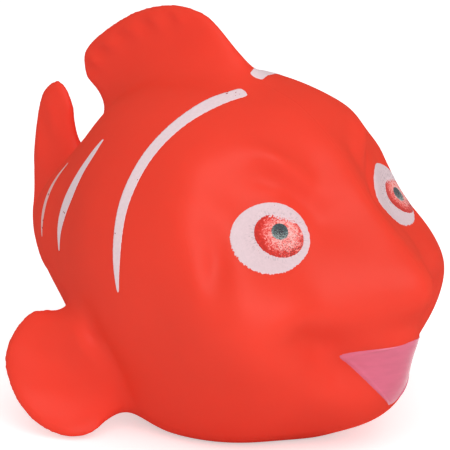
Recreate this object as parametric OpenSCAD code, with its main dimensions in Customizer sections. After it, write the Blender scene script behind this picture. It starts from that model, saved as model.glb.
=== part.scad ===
// A hollow, squeezable bath toy: a plump striped fish of soft vinyl with an air squeaker in its flat base.
// The nose points along -Y, the fish's right side is -X, and the base rests on the plane Z = 0.

/* [Body] */
// Length of the body from the nose to the root of the tail fin
body_length = 96; // [84:1:120]
// Width of the body across its flanks
body_width = 72; // [62:1:88]
// Height of the body above the ground
body_height = 76; // [66:1:92]
// Thickness of the vinyl skin around the air chamber
skin_wall = 2.4; // [1.6:0.1:3.4]
// Thickness of the skin in the flat base, where the squeaker is pressed in
base_floor = 4.2; // [3.6:0.1:5.5]

/* [Face] */
// How far the snout stands out
snout_rise = 2.7; // [1:0.1:5]
// How far the ridge between the eyes stands out
bridge_rise = 3.6; // [2:0.1:5]
// Depth of the hollow around each eye
socket_depth = 10.1; // [7:0.1:11]
// How far the brow stands out above each eye
brow_rise = 2.8; // [1:0.1:4]
// How far each cheek stands out
cheek_rise = 7.9; // [5:0.1:9]
// How far the lips stand out
lip_rise = 2.7; // [1:0.1:4]
// Depth of the dip between the snout and the lips
dip_depth = 3.3; // [2:0.1:5]
// Depth of the smile crease under each cheek
crease_depth = 3.7; // [1:0.1:5]

/* [Fins] */
// How high the dorsal fin stands over its middle
dorsal_reach = 15.5; // [10:0.5:18]
// How far the dorsal fin runs ahead of and behind its middle
dorsal_spread = 24; // [22:0.5:25]
// How far the tail fin reaches back from the end of the body
tail_fin_length = 13.4; // [10:0.2:16]
// How far the tail fin spreads above and below the middle of the body
tail_spread = 27; // [24:0.5:28]
// Reach of each pectoral fin from its middle on the flank
pectoral_reach = 20.4; // [15:0.2:24]
// Thickness of the fins where they leave the body
fin_root = 5; // [3.5:0.1:7]
// Thickness of the fins near their edge
fin_edge = 3.2; // [2.4:0.1:4.5]
// How far the fins spread sideways where they run into the body
fin_flare = 2; // [1:0.1:3]
// Angle of each pectoral fin back from straight out to the side
pectoral_sweep = 50; // [40:1:58]
// Angle by which each pectoral fin leans outwards at its foot
pectoral_lean = 26; // [20:1:30]

/* [Paint] */
// Width of the white of each eye
eye_width = 18.7; // [15:0.1:20]
// Height of the white of each eye
eye_height = 14.8; // [13:0.1:18]
// Width of the iris
iris_width = 11.5; // [8:0.1:12]
// Width of the pupil
pupil_width = 3.7; // [2.5:0.1:5]
// Widest part of the stripe behind the head
front_stripe = 3.6; // [2:0.1:5]
// Widest part of the stripe on the flank
middle_stripe = 4.4; // [2:0.1:5]
// Widest part of the stripe at the root of the tail
tail_stripe = 1.6; // [1:0.1:3]
// Thickness of a layer of paint
paint_film = 0.15; // [0.1:0.01:0.3]

/* [Squeaker] */
// Diameter of the hole in the base
hole_d = 16; // [14:0.5:18]
// Diameter of the flange that covers the hole
flange_d = 22; // [20:0.5:26]
// Thickness of the flange
flange_t = 1.6; // [1.2:0.1:2]
// Height of the squeaker above the ground
squeaker_height = 15; // [13:0.5:20]
// Diameter of the socket for the reed and its two halves
socket_d = 10.8; // [9:0.1:11.5]
// Diameter of the air outlet
outlet_d = 4; // [3:0.1:5]
// Width of the reed
reed_width = 5; // [3.5:0.1:6]
// Thickness of the reed
reed_t = 0.3; // [0.2:0.05:0.4]
// Free length of the reed above its clamp
reed_free = 8; // [6:0.1:9]

/* [Hidden] */

vinyl_red = "#F04434";
paint_white = "#EFE2E4";
iris_red = "#D8403C";
pupil_green = "#6E8284";
lip_pink = "#E17390";
squeaker_white = "#E9E7DF";
reed_clear = "#C9CDD2";

// Radial play between parts that are pressed together
press_gap = 0.05;
// Play beside the reed in its slot
reed_gap = 0.15;
// One overrun for every cut
over = 1;
// Distance between two layers of paint, and between paint and skin
paint_gap = 0.16;

half = [body_width / 2, body_length / 2, body_height / 2];

// Outlines of the body as shares of the half sizes, every 15 degrees from the nose to the tail
profile_step = 15;
top_shares = [1.042, 0.953, 0.93, 0.955, 0.972, 0.982, 0.988, 0.99, 0.96, 0.897, 0.874, 0.92, 0.975];
side_shares = [1.042, 0.995, 0.983, 0.99, 0.995, 1, 1, 0.966, 0.911, 0.903, 0.975, 1.02, 0.975];
belly_shares = [1.042, 1.037, 1.072, 1.129, 1.157, 1.138, 1.092, 1.032, 1, 0.968, 0.938, 0.95, 0.975];

// Soft rises and hollows of the face: place and spread as shares of the half sizes, height, mirrored or not
face_shares = [
    [[0, -1.086, 0.07], [0.128, 0.291, 0.166]],
    [[0, -0.869, 0.389], [0.101, 0.199, 0.184]],
    [[0.432, -0.69, 0.355], [0.364, 0.163, 0.359]],
    [[0.456, -0.68, 0.559], [0.281, 0.273, 0.172]],
    [[0.78, -0.623, -0.136], [0.206, 0.196, 0.271]],
    [[0, -1.037, -0.555], [0.196, 0.29, 0.221]],
    [[0, -1.046, -0.193], [0.24, 0.25, 0.08]],
    [[0.34, -0.944, -0.365], [0.186, 0.167, 0.132]]
];
face_heights = [
    snout_rise, bridge_rise, -socket_depth, brow_rise, cheek_rise, lip_rise, -dip_depth, -crease_depth
];

// The body is drawn outwards from its core, half way up, where nose and tail end equally far from the middle
tail_hub_shares = [0, 0.93, 0];
// Share of the snout's rise at the very tip of the nose
nose_share = 0.86;
nose_front = half[1] * side_shares[0] + snout_rise * nose_share;
tail_back = half[1] * tail_hub_shares[1] + tail_fin_length;
core = [0, (nose_front - tail_back) / 2, body_height / 2];

// Rings and points around a ring of the skin and of the air chamber inside it
skin_rings = 46;
skin_sides = 72;
chamber_rings = 22;
chamber_sides = 32;
// The rings lie closer together towards the face
ring_power = 1.3;
// Nearer to the axis through nose and tail than this, a direction counts as along it
pole_share = 0.000001;

// Smooth curve through the values of a list, with u from 0 to 1, running on straight at its ends
function curve(v, u) =
    let (n = len(v) - 1, x = min(max(u, 0), 1) * n, i = min(floor(x), n - 1), t = x - i)
    let (b = v[i], c = v[i + 1])
    let (a = i > 0 ? v[i - 1] : 2 * b - c, d = i + 2 <= n ? v[i + 2] : 2 * c - b)
    (2 * b + (c - a) * t + (2 * a - 5 * b + 4 * c - d) * t * t + (3 * b - a - 3 * c + d) * t * t * t) / 2;

// The same through an outline that starts and ends level, as the body does at its nose and tail
function outline(shares, angle) =
    let (n = len(shares) - 1, x = min(max(angle / profile_step, 0), n), i = min(floor(x), n - 1), t = x - i)
    let (b = shares[i], c = shares[i + 1])
    let (a = i > 0 ? shares[i - 1] : c, d = i + 2 <= n ? shares[i + 2] : b)
    (2 * b + (c - a) * t + (2 * a - 5 * b + 4 * c - d) * t * t + (3 * b - a - 3 * c + d) * t * t * t) / 2;

function times(a, b) = [a[0] * b[0], a[1] * b[1], a[2] * b[2]];
function over_each(a, b) = [a[0] / b[0], a[1] / b[1], a[2] / b[2]];
function unit(v) = v / norm(v);

// Share of the half sizes at which the body's skin lies in a direction, before the face is added
function base_share(d) =
    let (angle = acos(min(max(-d[1], -1), 1)), s = norm([d[0], d[2]]), side = outline(side_shares, angle))
    let (upright = d[2] > 0 ? outline(top_shares, angle) : outline(belly_shares, angle))
    s < pole_share ? side : s / norm([d[0] / side, d[2] / upright]);

function swell(q, place, spread) =
    let (e = over_each(q - place, spread))
    exp(-e * e / 2);

// Height of the face above the plain body at a point given in shares of the half sizes
function face_height(q) =
    let (m = [abs(q[0]), q[1], q[2]])
    [for (i = [0:len(face_shares) - 1])
        let (place = face_shares[i][0], spread = face_shares[i][1])
        let (twin = place[0] > 0 ? swell([-m[0], m[1], m[2]], place, spread) : 0)
        face_heights[i] * (swell(m, place, spread) + twin)
    ] * [for (i = face_shares) 1];

// Distance from the core to the skin, set in by a wall, and cut off flat at a level above the ground
function reach(d, wall, level) =
    let (stretched = times(d, half), long = norm(stretched), share = base_share(d))
    let (free = share * long + face_height(d * share) - wall)
    d[2] < 0 ? min(free, (core[2] - level) * long / -stretched[2]) : free;

// Point of the skin in a direction, with wall below 0 to lie above the skin
function skin_point(d, wall = 0, level = 0) = core + unit(times(d, half)) * reach(d, wall, level);

// Direction from the core to a place, as the skin functions take it
function towards(place) = unit(over_each(place - core, half));

// Direction at an angle from the nose and around the body, from the left side upwards
function heading(angle, around) = [sin(angle) * cos(around), -cos(angle), sin(angle) * sin(around)];

// Faces of a closed loft of rings, with a flat strip over each end
function loft_faces(rings, n) = concat(
    [for (i = [0:rings - 2], j = [0:n - 1]) [i * n + j, i * n + (j + 1) % n, (i + 1) * n + (j + 1) % n]],
    [for (i = [0:rings - 2], j = [0:n - 1]) [i * n + j, (i + 1) * n + (j + 1) % n, (i + 1) * n + j]],
    [for (j = [0:n / 2 - 2]) [j + 1, j, n - j - 1]],
    [for (j = [1:n / 2 - 1]) [n - j - 1, j, n - j]],
    [for (e = [(rings - 1) * n], j = [0:n / 2 - 2]) [e + j, e + j + 1, e + n - j - 1]],
    [for (e = [(rings - 1) * n], j = [1:n / 2 - 1]) [e + j, e + n - j - 1, e + n - j]]
);

// Faces of a closed form of rings between two poles, the poles being the last two points
function pole_faces(rings, n) = concat(
    [for (i = [0:rings - 2], j = [0:n - 1]) [i * n + j, i * n + (j + 1) % n, (i + 1) * n + (j + 1) % n]],
    [for (i = [0:rings - 2], j = [0:n - 1]) [i * n + j, (i + 1) * n + (j + 1) % n, (i + 1) * n + j]],
    [for (j = [0:n - 1]) [rings * n, (j + 1) % n, j]],
    [for (j = [0:n - 1]) [(rings - 1) * n + j, (rings - 1) * n + (j + 1) % n, rings * n + 1]]
);

module loft(points, rings, n) {
    polyhedron(points = points, faces = loft_faces(rings, n), convexity = 6);
}

// Closed skin around the core
module egg(rings, sides, wall, level) {
    angles = [for (i = [1:rings]) 180 * pow(i / (rings + 1), ring_power)];
    points = [for (a = angles, j = [0:sides - 1]) skin_point(heading(a, 360 * j / sides), wall, level)];
    poles = [skin_point(heading(0, 0), wall, level), skin_point(heading(180, 0), wall, level)];
    polyhedron(points = concat(points, poles), faces = pole_faces(rings, sides), convexity = 6);
}

// A fluted fin: rays run from a base line on the skin to an edge line, and the blade thins on the way.
fin_rings = 12;
fin_sides = 32;
// How deep the rays start inside the body
fin_sink = 4;
// How far from the skin the fin spreads sideways
flare_height = 6;
flute_share = 0.18;
edge_power = 6;
edge_share = 0.004;
bluntness = 0.7;
// Step along the base line that gives its direction
line_step = 0.02;

// Half thickness of a blade at a share of the ray from skin to edge
function fin_half(s, sweep, long, c, flutes) =
    let (taper = (fin_root + (fin_edge - fin_root) * max(s, 0)) / 2)
    let (tip = sqrt(max(1 - pow(max(s, 0), edge_power), edge_share)))
    let (flute = 1 + flute_share * cos(360 * flutes * c) * min(max(3 * s, 0), 1))
    let (flare = fin_flare * pow(max(1 - max(s, 0) * long / flare_height, 0), 2))
    sign(sin(sweep)) * pow(abs(sin(sweep)), bluntness) * (taper * tip * flute + flare);

module fin(base, edge, flutes) {
    points = [
        for (i = [0:fin_rings - 1], j = [0:fin_sides - 1])
            let (sweep = 360 * j / fin_sides, c = (1 - cos(sweep)) / 2)
            let (start = curve(base, c), whole = curve(edge, c) - start, long = norm(whole), ray = whole / long)
            let (back = curve(base, min(c + line_step, 1)) - curve(base, max(c - line_step, 0)))
            let (s = ((long + fin_sink) * i / (fin_rings - 1) - fin_sink) / long)
            start + ray * s * long + unit(cross(ray, back)) * fin_half(s, sweep, long, c, flutes)
    ];
    loft(points, fin_rings, fin_sides);
}

// Dorsal and tail fins: angles of their ray roots from the nose, their middles, and their edges around those
dorsal_angles = [80, 90, 99, 108, 117, 126, 135, 143];
dorsal_hub_shares = [0, 0.38, 0.9];
dorsal_back_shares = [-0.99, -0.78, -0.47, -0.125, 0.29, 0.69, 0.95, 0.975];
dorsal_rise_shares = [0.35, 0.63, 0.92, 1, 0.83, 0.465, 0.1, -0.21];
dorsal_flutes = 6;
tail_angles = [163, 167, 172, 177, 182, 187, 192, 197, 201];
tail_back_shares = [0.25, 0.4, 0.69, 0.9, 0.99, 0.96, 0.78, 0.44, 0.14];
tail_rise_shares = [0.92, 1, 0.863, 0.537, 0.11, -0.26, -0.556, -0.7, -0.65];
tail_flutes = 5;
// Right pectoral fin: where its root begins and ends on the flank, its middle, and its edge around the middle
pectoral_top_shares = [-0.86, 0.35, -0.29];
pectoral_foot_shares = [-0.58, 0.2, -0.84];
pectoral_hub_shares = [-0.735, 0.277, -0.58];
pectoral_edge_shares = [
    [0.466, 0.534], [0.81, 0.41], [0.99, 0.1], [0.956, -0.235], [0.735, -0.65], [0.37, -0.833], [-0.02, -0.7]
];
pectoral_flutes = 4;

// A fin in the plane of symmetry, with its rays rooted along the back
module middle_fin(angles, hub_shares, backs, rises, flutes) {
    hub = core + times(hub_shares, half);
    fin(
        [for (a = angles) skin_point([0, -cos(a), sin(a)])],
        [for (i = [0:len(angles) - 1]) hub + [0, backs[i], rises[i]]],
        flutes
    );
}

module dorsal_fin() {
    middle_fin(
        dorsal_angles, dorsal_hub_shares, dorsal_back_shares * dorsal_spread, dorsal_rise_shares * dorsal_reach,
        dorsal_flutes
    );
}

module tail_fin() {
    middle_fin(
        tail_angles, tail_hub_shares, tail_back_shares * tail_fin_length, tail_rise_shares * tail_spread, tail_flutes
    );
}

// The right pectoral fin, low on the flank
module pectoral_fin() {
    out = [-cos(pectoral_sweep), sin(pectoral_sweep), 0];
    tilt = sin(pectoral_lean);
    up = [tilt * sin(pectoral_sweep), tilt * cos(pectoral_sweep), cos(pectoral_lean)];
    n = len(pectoral_edge_shares) - 1;
    base = [
        for (i = [0:n])
            skin_point(unit(pectoral_top_shares + (pectoral_foot_shares - pectoral_top_shares) * i / n))
    ];
    hub = core + times(pectoral_hub_shares, half);
    edge = [for (e = pectoral_edge_shares) hub + (out * e[0] + up * e[1]) * pectoral_reach];
    fin(base, edge, pectoral_flutes);
}

module vinyl_body() {
    color(vinyl_red) difference() {
        union() {
            egg(skin_rings, skin_sides, 0, 0);
            dorsal_fin();
            tail_fin();
            pectoral_fin();
            mirror([1, 0, 0]) pectoral_fin();
        }
        egg(chamber_rings, chamber_sides, skin_wall, base_floor);
        translate([0, 0, -over]) cylinder(h = base_floor + 2 * over, d = hole_d, $fn = 64);
        translate([0, 0, -over]) cylinder(h = over + flange_z + press_gap, d = flange_d + 2 * press_gap, $fn = 96);
    }
}

// The flange lies just inside the base, so that the toy stands on its skin
flange_inset = 0.3;
flange_z = flange_inset + flange_t;
neck_r = hole_d / 2 - press_gap;
bead_rise = 0.8;
bead_t = 0.6;
bead_taper = 1.6;
barrel_wall = 1.6;
barrel_r = socket_d / 2 + barrel_wall;
bead_z = base_floor + press_gap;
socket_z = flange_z + barrel_wall;

// Turned form: flange, neck in the base, snap bead inside the chamber, and a barrel with the reed's socket
module squeaker_housing() {
    color(squeaker_white) rotate_extrude($fn = 96) polygon([
        [outlet_d / 2, flange_inset],
        [flange_d / 2, flange_inset],
        [flange_d / 2, flange_z],
        [neck_r, flange_z],
        [neck_r, bead_z],
        [neck_r + bead_rise, bead_z],
        [neck_r + bead_rise, bead_z + bead_t],
        [barrel_r, bead_z + bead_t + bead_taper],
        [barrel_r, squeaker_height],
        [socket_d / 2, squeaker_height],
        [socket_d / 2, socket_z],
        [outlet_d / 2, socket_z]
    ]);
}

clamp_h = 3;
reed_held = 1.2;
channel_w = reed_width * 0.6;
channel_depth = 2;
channel_top = reed_free * 0.75;
block_h = squeaker_height - socket_z;
hinge_z = socket_z + press_gap + clamp_h;

// Half of a round plug, on one side of the reed's slot
module half_plug(h) {
    intersection() {
        cylinder(h = h, r = socket_d / 2 - press_gap, $fn = 96);
        translate([-socket_d / 2, reed_t / 2 + reed_gap, 0]) cube([socket_d, socket_d / 2, h]);
    }
}

// The longer half, with the air channel that the reed beats on
module reed_block() {
    color(squeaker_white) translate([0, 0, socket_z + press_gap]) difference() {
        mirror([0, 1, 0]) half_plug(block_h);
        translate([-channel_w / 2, -reed_t / 2 - reed_gap - channel_depth, -over])
            cube([channel_w, channel_depth + over, over + clamp_h + channel_top]);
    }
}

module reed_clamp() {
    color(squeaker_white) translate([0, 0, socket_z + press_gap]) half_plug(clamp_h);
}

module reed() {
    color(reed_clear) translate([-reed_width / 2, -reed_t / 2, hinge_z - reed_held])
        cube([reed_width, reed_t, reed_held + reed_free]);
}

// Eyes: an ellipse square to the way the eye looks, laid on the skin from the core
eye_place_shares = [-0.567, -0.562, 0.657];
eye_yaw = 14.6;
eye_pitch = 12.6;
eye_tilt = 6.4;
// The painted irises and pupils sit off the middle of the whites: outwards and upwards, right eye then left eye
iris_shift_shares = [[-0.131, 0.01], [0.187, -0.096]];
pupil_shift_shares = [[-0.166, 0.042], [0.209, -0.1]];
iris_roundness_share = 0.78;
pupil_roundness_share = 0.95;

eye_place = [0, core[1], 0] + times(eye_place_shares, [half[0], half[1], body_height]);
eye_side = [-cos(eye_yaw), sin(eye_yaw), 0];
eye_up = [sin(eye_pitch) * sin(eye_yaw), sin(eye_pitch) * cos(eye_yaw), cos(eye_pitch)];
eye_across = eye_side * cos(eye_tilt) + eye_up * sin(eye_tilt);
eye_along = eye_up * cos(eye_tilt) - eye_side * sin(eye_tilt);

// A round film of paint on the right eye, of a width and a height, at a shift from the eye's middle
module eye_film(width, height, shift, lift, rings, sides) {
    middle = eye_place + eye_across * shift[0] * eye_width + eye_along * shift[1] * eye_width;
    radii = concat([for (i = [1:rings]) i / rings], [for (i = [rings:-1:1]) i / rings]);
    lifts = concat([for (i = [1:rings]) lift], [for (i = [1:rings]) lift + paint_film]);
    points = [
        for (i = [0:2 * rings - 1], j = [0:sides - 1])
            let (a = 360 * j / sides)
            let (side = eye_across * cos(a) * width / 2, rise = eye_along * sin(a) * height / 2)
            skin_point(towards(middle + (side + rise) * radii[i]), -lifts[i])
    ];
    poles = [skin_point(towards(middle), -lift), skin_point(towards(middle), -lift - paint_film)];
    polyhedron(points = concat(points, poles), faces = pole_faces(2 * rings, sides), convexity = 4);
}

module left_side() {
    mirror([1, 0, 0]) children();
}

module eye_white() {
    color(paint_white) eye_film(eye_width, eye_height, [0, 0], paint_gap, 5, 28);
}

module iris(shift_shares) {
    color(iris_red) eye_film(iris_width, iris_width * iris_roundness_share, shift_shares,
        2 * paint_gap + paint_film, 4, 20);
}

module pupil(shift_shares) {
    color(pupil_green) eye_film(pupil_width, pupil_width * pupil_roundness_share, shift_shares,
        3 * paint_gap + 2 * paint_film, 2, 14);
}

// A film of paint between two edges, from one end to the other: rows of directions from the core
module film(rows, lift) {
    n = len(rows[0]);
    points = [
        for (row = rows) each concat(
            [for (j = [0:n - 1]) skin_point(row[j], -lift)],
            [for (j = [n - 1:-1:0]) skin_point(row[j], -lift - paint_film)]
        )
    ];
    loft(points, len(rows), 2 * n);
}

// Stripe along places given as shares of the half sizes, its width following shares of the widest part
stripe_steps = 18;

module stripe(place_shares, width_shares, widest) {
    rows = [
        for (i = [0:stripe_steps])
            let (u = i / stripe_steps, e = 0.01)
            let (here = skin_point(unit(curve(place_shares, u))))
            let (ahead = skin_point(unit(curve(place_shares, min(u + e, 1)))))
            let (behind = skin_point(unit(curve(place_shares, max(u - e, 0)))))
            let (across = unit(cross(ahead - behind, here - core)))
            [for (k = [-1:1]) towards(here + across * k * curve(width_shares, u) * widest / 2)]
    ];
    film(rows, paint_gap);
}

// The left front stripe starts nearer the top than the right one
front_right_shares = [
    [-0.165, -0.19, 0.952], [-0.407, -0.114, 0.894], [-0.613, -0.05, 0.781], [-0.78, 0.001, 0.62],
    [-0.905, 0.023, 0.418], [-0.979, 0.015, 0.194], [-0.998, -0.002, -0.055]
];
front_left_shares = [
    [-0.01, -0.19, 0.968], [-0.3, -0.145, 0.931], [-0.56, -0.065, 0.815], [-0.76, -0.005, 0.645],
    [-0.9, 0.022, 0.43], [-0.979, 0.015, 0.194], [-0.998, -0.002, -0.055]
];
front_width_shares = [0.45, 0.97, 0.85, 0.81, 0.76, 0.74, 0.68, 0.56, 0.15];
middle_stripe_shares = [
    [-0.634, 0.322, 0.655], [-0.68, 0.362, 0.561], [-0.706, 0.409, 0.459], [-0.721, 0.453, 0.349],
    [-0.721, 0.5, 0.23], [-0.72, 0.531, 0.108], [-0.728, 0.529, -0.02]
];
middle_width_shares = [0.12, 0.5, 0.63, 0.8, 0.97, 1, 0.9, 0.6, 0.12];
tail_stripe_shares = [
    [-0.47, 0.64, 0.41], [-0.478, 0.694, 0.344], [-0.5, 0.723, 0.274], [-0.528, 0.737, 0.203],
    [-0.552, 0.743, 0.129], [-0.566, 0.744, 0.052], [-0.568, 0.741, -0.028]
];
tail_width_shares = [0.15, 0.8, 1, 0.8, 0.15];

module stripe_front(place_shares) {
    color(paint_white) stripe(place_shares, front_width_shares, front_stripe);
}

module stripe_middle() {
    color(paint_white) stripe(middle_stripe_shares, middle_width_shares, middle_stripe);
}

module stripe_tail() {
    color(paint_white) stripe(tail_stripe_shares, tail_width_shares, tail_stripe);
}

// The painted mouth: half widths and heights of a rounded diamond, as shares of the distance ahead of the core
lip_steps = 16;
lip_sides = 10;
lip_height_shares = [-0.612, -0.56, -0.51, -0.455, -0.405, -0.361, -0.305, -0.262, -0.228];
lip_width_shares = [0.012, 0.062, 0.118, 0.184, 0.248, 0.303, 0.236, 0.14, 0.012];

module lip_paint() {
    rows = [
        for (i = [0:lip_steps])
            let (u = i / lip_steps, w = curve(lip_width_shares, u), z = curve(lip_height_shares, u))
            [for (j = [0:lip_sides])
                towards(core + [w * (2 * j / lip_sides - 1), -1, z] * half[1])]
    ];
    color(lip_pink) film(rows, paint_gap);
}

vinyl_body();
squeaker_housing();
reed_block();
reed_clamp();
reed();
eye_white();  // eye_white_right
left_side() eye_white();  // eye_white_left
iris(iris_shift_shares[0]);  // iris_right
left_side() iris(iris_shift_shares[1]);  // iris_left
pupil(pupil_shift_shares[0]);  // pupil_right
left_side() pupil(pupil_shift_shares[1]);  // pupil_left
lip_paint();
stripe_front(front_right_shares);  // stripe_front_right
left_side() stripe_front(front_left_shares);  // stripe_front_left
stripe_middle();  // stripe_middle_right
left_side() stripe_middle();  // stripe_middle_left
stripe_tail();  // stripe_tail_right
left_side() stripe_tail();  // stripe_tail_left
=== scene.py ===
"""A squeaky bath toy: a plump striped fish of soft vinyl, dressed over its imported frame."""

import math
from functools import partial

import bpy
import numpy as np
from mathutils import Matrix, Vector


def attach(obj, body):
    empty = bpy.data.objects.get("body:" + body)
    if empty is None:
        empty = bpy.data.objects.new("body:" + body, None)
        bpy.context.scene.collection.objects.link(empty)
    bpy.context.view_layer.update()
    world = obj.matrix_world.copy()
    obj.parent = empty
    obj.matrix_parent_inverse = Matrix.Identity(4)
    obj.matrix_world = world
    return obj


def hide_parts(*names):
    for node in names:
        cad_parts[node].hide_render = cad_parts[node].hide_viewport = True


bl_info = {
    "name": "Squeaky Bath Toy",
    "version": (1, 0, 0),
    "blender": (4, 5, 0),
    "location": "View3D > Sidebar > Bath Toy",
    "description": "Makes a moulded vinyl fish with painted eyes, lips and stripes, and its squeaker",
    "category": "Object",
}

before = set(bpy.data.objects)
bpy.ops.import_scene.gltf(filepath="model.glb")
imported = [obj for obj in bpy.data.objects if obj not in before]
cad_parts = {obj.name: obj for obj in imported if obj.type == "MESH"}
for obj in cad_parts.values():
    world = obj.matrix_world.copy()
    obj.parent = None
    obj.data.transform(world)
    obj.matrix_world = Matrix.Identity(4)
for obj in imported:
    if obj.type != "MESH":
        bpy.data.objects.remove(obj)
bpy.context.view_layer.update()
SIDES = {"right": 1, "left": -1}
MIRROR = np.array([-1, 1, 1])

# Outlines of the body as shares of its half sizes, every 15 degrees from the nose to the tail
PROFILE_STEP = math.radians(15)
TOP_SHARES = [1.042, 0.953, 0.93, 0.955, 0.972, 0.982, 0.988, 0.99, 0.96, 0.897, 0.874, 0.92, 0.975]
SIDE_SHARES = [1.042, 0.995, 0.983, 0.99, 0.995, 1, 1, 0.966, 0.911, 0.903, 0.975, 1.02, 0.975]
BELLY_SHARES = [1.042, 1.037, 1.072, 1.129, 1.157, 1.138, 1.092, 1.032, 1, 0.968, 0.938, 0.95, 0.975]
# Share of the snout's rise at the very tip of the nose
NOSE_SHARE = 0.86

# Soft rises and hollows of the face: the size that gives the height, its sign, place and spread in half sizes
FACE_SHARES = [
    ("snout_rise", 1, (0, -1.086, 0.07), (0.128, 0.291, 0.166)),
    ("bridge_rise", 1, (0, -0.869, 0.389), (0.101, 0.199, 0.184)),
    ("socket_depth", -1, (0.432, -0.69, 0.355), (0.364, 0.163, 0.359)),
    ("brow_rise", 1, (0.456, -0.68, 0.559), (0.281, 0.273, 0.172)),
    ("cheek_rise", 1, (0.78, -0.623, -0.136), (0.206, 0.196, 0.271)),
    ("lip_rise", 1, (0, -1.037, -0.555), (0.196, 0.29, 0.221)),
    ("dip_depth", -1, (0, -1.046, -0.193), (0.24, 0.25, 0.08)),
    ("crease_depth", -1, (0.34, -0.944, -0.365), (0.186, 0.167, 0.132)),
]
# Finer forms of the face and the belly: height as a share of the relief, place and spread. Here and above,
# one whose place is off the middle stands on both sides.
FACE_DETAILS = [
    # The crease over the eye, and its end towards the nose
    (-1.6, (0.44, -0.525, 0.657), (0.133, 0.08, 0.045)),
    (-2.4, (0.364, -0.583, 0.561), (0.066, 0.141, 0.066)),
    (-2.4, (0.302, -0.648, 0.42), (0.069, 0.12, 0.111)),
    # The brow over that crease, running down towards the nose
    (2.8, (0.412, -0.51, 0.69), (0.06, 0.179, 0.045)),
    (3, (0.124, -0.624, 0.48), (0.248, 0.099, 0.089)),
    (1.91, (0.32, -0.628, 0.624), (0.06, 0.079, 0.09)),
    (2.2, (0, -0.633, 0.684), (0.116, 0.097, 0.13)),
    # The rim of the socket at the temple, and its soft edge
    (-1.93, (0.869, -0.434, 0.36), (0.05, 0.071, 0.222)),
    (4, (0.758, -0.27, 0.239), (0.115, 0.111, 0.452)),
    (-2.67, (0.723, -0.374, 0.566), (0.215, 0.172, 0.104)),
    (1.36, (0.887, -0.423, 0.166), (0.05, 0.062, 0.147)),
    (-2.03, (0.891, -0.482, 0.178), (0.05, 0.05, 0.109)),
    # The wings of the nose and the fold beneath them
    (-2.2, (0.63, -0.78, -0.225), (0.125, 0.087, 0.085)),
    (2.5, (0.174, -0.903, -0.193), (0.269, 0.203, 0.126)),
    (-2.26, (0.463, -0.839, -0.318), (0.105, 0.077, 0.108)),
    (1.88, (0.721, -0.773, -0.031), (0.151, 0.06, 0.102)),
    # The hollows beside and under the lips
    (-2.02, (0.306, -0.855, -0.506), (0.097, 0.081, 0.071)),
    (0.9, (0.141, -0.795, -0.726), (0.122, 0.095, 0.236)),
    (-2, (0.263, -0.593, -0.873), (0.183, 0.204, 0.356)),
    # The fullness of the belly below the side fins
    (3.2, (0.51, 0.1, -0.835), (0.22, 0.34, 0.157)),
]

# Fins: where their rays are rooted, and their edges around a hub, as shares of the fin's own sizes
DORSAL_ANGLES = [80, 90, 99, 108, 117, 126, 135, 143]
DORSAL_HUB = (0, 0.38, 0.9)
DORSAL_BACK = [-1.03, -0.84, -0.5, -0.125, 0.29, 0.69, 0.95, 0.93]
DORSAL_RISE = [0.35, 0.65, 0.93, 1, 0.83, 0.465, 0.08, -0.33]
TAIL_ANGLES = [161, 166, 172, 177, 182, 187, 192, 197, 201]
TAIL_HUB = (0, 0.93, 0)
TAIL_BACK = [0.17, 0.39, 0.7, 0.86, 0.93, 0.96, 0.78, 0.44, 0.14]
TAIL_RISE = [0.95, 1.01, 0.88, 0.537, 0.11, -0.26, -0.556, -0.7, -0.65]
PECTORAL_TOP = (-0.86, 0.35, -0.29)
PECTORAL_FOOT = (-0.58, 0.2, -0.84)
PECTORAL_HUB = (-0.735, 0.277, -0.58)
PECTORAL_EDGE = [
    (0.4, 0.545), (0.723, 0.49), (0.94, 0.24), (1.01, -0.03), (0.93, -0.34), (0.725, -0.64), (0.4, -0.815),
    (0.1, -0.785), (-0.17, -0.6)
]
# How freely the roots of dorsal, tail and side fins are rounded
ROOT_SOFTNESS = [1, 0.6, 0.4, 0.4]

# Paint: places on the body as shares of its half sizes, and widths as shares of the widest place
EYE_PLACE = (-0.567, -0.562, 0.305)
EYE_TURNS = (14.6, 12.6, 6.4)
# Layers of an eye: height in films, then the teeth of the rim (how many around all of it, how deep, towards
# where and how far spread, in degrees), and for right and left how far the layer sits outwards and upwards of
# the middle in eye widths, how far it leans in degrees, and its share of the width. The left iris and pupil
# were dabbed on narrower.
EYE_LAYERS = {
    "eye_white": (1.0, [(90, 0.085, 325, 45), (70, 0.04, 262, 40)], ((0, 0), 0, 1), ((0, 0), 0, 1)),
    "iris": (
        1.8, [(40, 0.09, 75, 50), (36, 0.05, 285, 60)], ((-0.131, 0.01), 18, 1), ((0.187, -0.096), -14, 0.78)
    ),
    "pupil": (2.6, [(14, 0.2, 270, 110)], ((-0.166, 0.042), 18, 1), ((0.209, -0.1), -14, 0.78)),
}
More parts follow.
